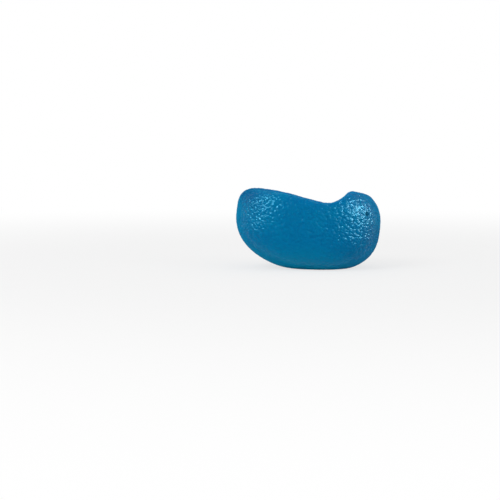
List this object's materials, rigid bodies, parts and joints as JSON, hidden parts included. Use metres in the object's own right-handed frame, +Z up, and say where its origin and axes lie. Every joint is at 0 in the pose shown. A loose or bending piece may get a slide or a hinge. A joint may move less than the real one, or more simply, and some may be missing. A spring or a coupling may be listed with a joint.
{
  "type": "hand grip strengthener",
  "caption": "Egg-shaped squeeze exerciser of translucent blue gel, in its squeezed form: finger scoops on top and a pressed flat underneath to rest on.",
  "frame": {"origin": "middle of the egg's length and width, on the flat that it rests on", "axes": "+X along the egg towards the blunt end with the gate mark, +Y away from the index finger's scoop, +Z up out of the finger scoops"},
  "size_m": [0.064, 0.0464, 0.0355],
  "materials": {
    "gel": "glossy pebbled skin over slightly translucent blue gel"
  },
  "bodies": {
    "root": {"squeeze_egg": "gel"}
  },
  "joints": []
}
